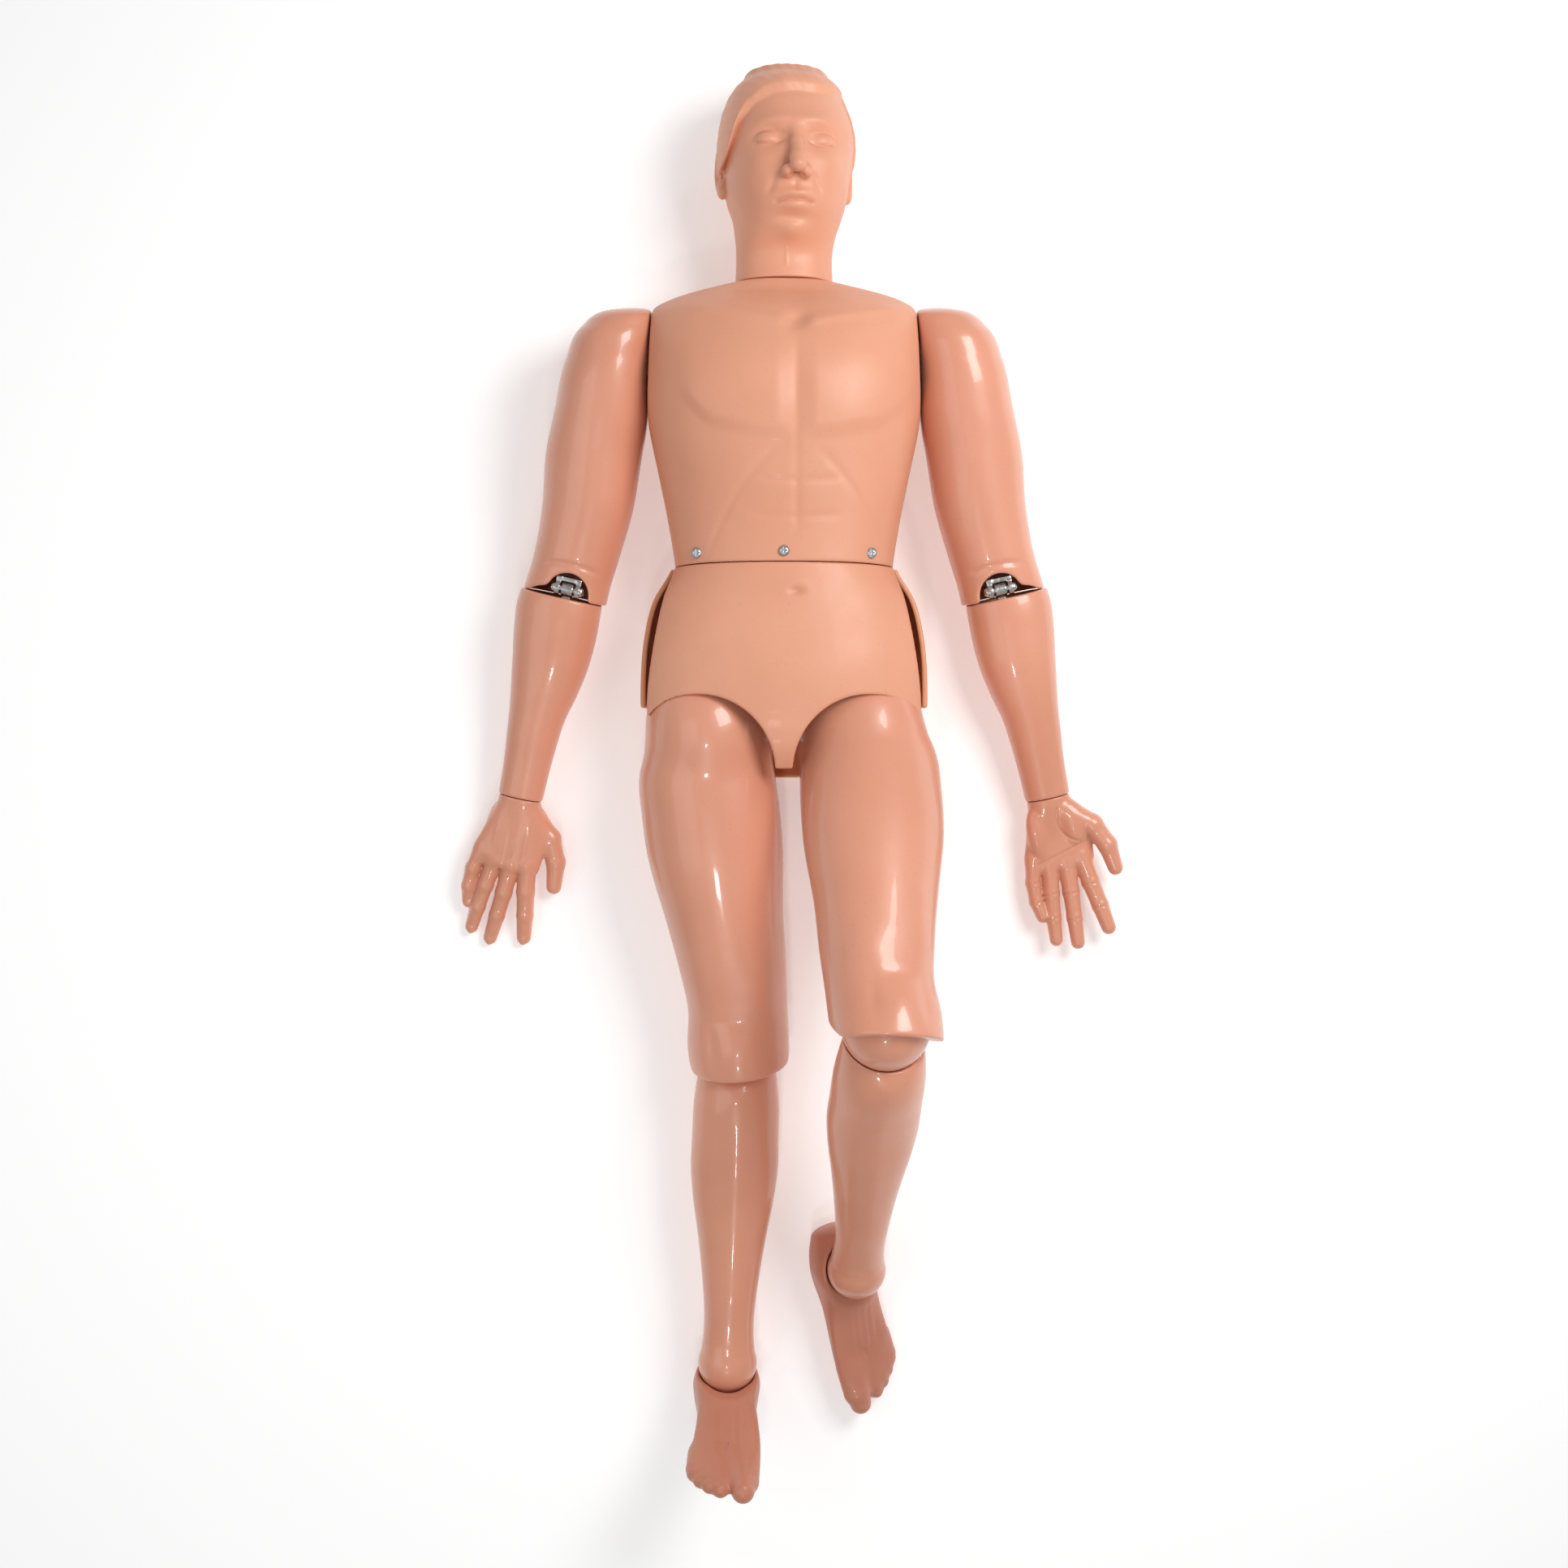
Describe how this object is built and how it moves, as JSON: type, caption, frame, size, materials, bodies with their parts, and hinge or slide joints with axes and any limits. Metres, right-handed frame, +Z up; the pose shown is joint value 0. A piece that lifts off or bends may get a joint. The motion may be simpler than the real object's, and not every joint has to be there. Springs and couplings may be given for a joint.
{
  "type": "jointed training mannequin",
  "caption": "Full-size jointed adult mannequin of hollow moulded vinyl shells on a steel frame, lying on its back with one knee raised, for partner and rescue drills.",
  "frame": {"origin": "centre of the bounding box's floor face, under the lying figure", "axes": "+X towards the figure's left, +Y towards the head, +Z up, out of the chest"},
  "size_m": [0.8638, 1.7902, 0.3813],
  "materials": {
    "trunk_vinyl": "satin moulded flesh-coloured vinyl",
    "limb_vinyl": "polished moulded flesh-coloured vinyl",
    "frame_steel": "bright drawn steel",
    "zinc_screws": "zinc-plated steel"
  },
  "bodies": {
    "trunk": {"chest_shell": "trunk_vinyl", "back_shell": "trunk_vinyl", "abdomen_panel": "trunk_vinyl", "pelvis_rear_shell": "trunk_vinyl", "spine_post": "frame_steel", "shoulder_beam": "frame_steel", "neck_bearing_ring": "frame_steel", "waist_screw_1": "zinc_screws", "waist_screw_2": "zinc_screws", "waist_screw_3": "zinc_screws", "left_shoulder_axle": "frame_steel", "right_shoulder_axle": "frame_steel", "left_hip_axle": "frame_steel", "right_hip_axle": "frame_steel"},
    "head": {"head_and_neck": "trunk_vinyl", "neck_spigot": "frame_steel"},
    "left_upper_arm": {"left_upper_arm_shell": "limb_vinyl", "left_humerus_rod": "frame_steel", "left_elbow_fork": "frame_steel", "left_elbow_pin": "zinc_screws"},
    "left_forearm": {"left_forearm_shell": "limb_vinyl", "left_elbow_tongue": "frame_steel"},
    "left_hand_body": {"left_hand": "limb_vinyl", "left_wrist_pin": "frame_steel"},
    "left_thigh": {"left_thigh_shell": "limb_vinyl", "left_femur_rod": "frame_steel"},
    "left_shin": {"left_shin_shell": "limb_vinyl", "left_knee_ball": "limb_vinyl", "left_knee_pin": "frame_steel", "left_tibia_rod": "frame_steel"},
    "left_foot_body": {"left_foot": "limb_vinyl"},
    "right_upper_arm": {"right_upper_arm_shell": "limb_vinyl", "right_humerus_rod": "frame_steel", "right_elbow_fork": "frame_steel", "right_elbow_pin": "zinc_screws"},
    "right_forearm": {"right_forearm_shell": "limb_vinyl", "right_elbow_tongue": "frame_steel"},
    "right_hand_body": {"right_hand": "limb_vinyl", "right_wrist_pin": "frame_steel"},
    "right_thigh": {"right_thigh_shell": "limb_vinyl", "right_femur_rod": "frame_steel"},
    "right_shin": {"right_shin_shell": "limb_vinyl", "right_knee_ball": "limb_vinyl", "right_knee_pin": "frame_steel", "right_tibia_rod": "frame_steel"},
    "right_foot_body": {"right_foot": "limb_vinyl"}
  },
  "joints": [
    {"name": "neck_turn", "type": "hinge", "parent": "trunk", "child": "head", "pos_m": [-0.00948, 0.61341, 0.10547], "axis": [0, 1, 0], "range_deg": [-75, 75]},
    {"name": "left_shoulder_swing", "type": "hinge", "parent": "trunk", "child": "left_upper_arm", "pos_m": [0.15995, 0.51258, 0.1117], "axis": [-0.9987, -0.0506, 0], "range_deg": [-33, 173]},
    {"name": "left_elbow_bend", "type": "hinge", "parent": "left_upper_arm", "child": "left_forearm", "pos_m": [0.26705, 0.22678, 0.1095], "axis": [-0.9748, -0.222, -0.0212], "range_deg": [0, 115]},
    {"name": "left_wrist_turn", "type": "hinge", "parent": "left_forearm", "child": "left_hand_body", "pos_m": [0.33626, -0.03806, 0.04308], "axis": [0.2229, -0.9674, -0.12], "range_deg": [-10, 170]},
    {"name": "left_hip_bend", "type": "hinge", "parent": "trunk", "child": "left_thigh", "pos_m": [0.08823, 0.04796, 0.10339], "axis": [-0.9695, 0.0746, 0.2334], "range_deg": [-28, 11]},
    {"name": "left_knee_bend", "type": "hinge", "parent": "left_thigh", "child": "left_shin", "pos_m": [0.11028, -0.30403, 0.30745], "axis": [0.9695, -0.0746, -0.2334], "range_deg": [-63.85, 9.65]},
    {"name": "left_ankle_bend", "type": "hinge", "parent": "left_shin", "child": "left_foot_body", "pos_m": [0.08428, -0.64935, 0.07735], "axis": [0.8566, 0.2399, -0.4568], "range_deg": [-62.35, 1.65]},
    {"name": "right_shoulder_swing", "type": "hinge", "parent": "trunk", "child": "right_upper_arm", "pos_m": [-0.17891, 0.51258, 0.1117], "axis": [-0.9987, 0.0506, 0], "range_deg": [-33, 173]},
    {"name": "right_elbow_bend", "type": "hinge", "parent": "right_upper_arm", "child": "right_forearm", "pos_m": [-0.28601, 0.22678, 0.1095], "axis": [-0.9748, 0.222, 0.0212], "range_deg": [0, 115]},
    {"name": "right_wrist_turn", "type": "hinge", "parent": "right_forearm", "child": "right_hand_body", "pos_m": [-0.35522, -0.03806, 0.04308], "axis": [-0.2229, -0.9674, -0.12], "range_deg": [-10, 170]},
    {"name": "right_hip_bend", "type": "hinge", "parent": "trunk", "child": "right_thigh", "pos_m": [-0.10719, 0.04796, 0.10339], "axis": [-0.9954, -0.0958, 0], "range_deg": [-0.7, 44.3]},
    {"name": "right_knee_bend", "type": "hinge", "parent": "right_thigh", "child": "right_shin", "pos_m": [-0.06816, -0.35729, 0.08704], "axis": [0.9954, 0.0958, 0], "range_deg": [0, 73.5]},
    {"name": "right_ankle_bend", "type": "hinge", "parent": "right_shin", "child": "right_foot_body", "pos_m": [-0.08271, -0.77248, 0.07049], "axis": [0.9978, -0.0327, -0.0575], "range_deg": [-23, 41]}
  ]
}
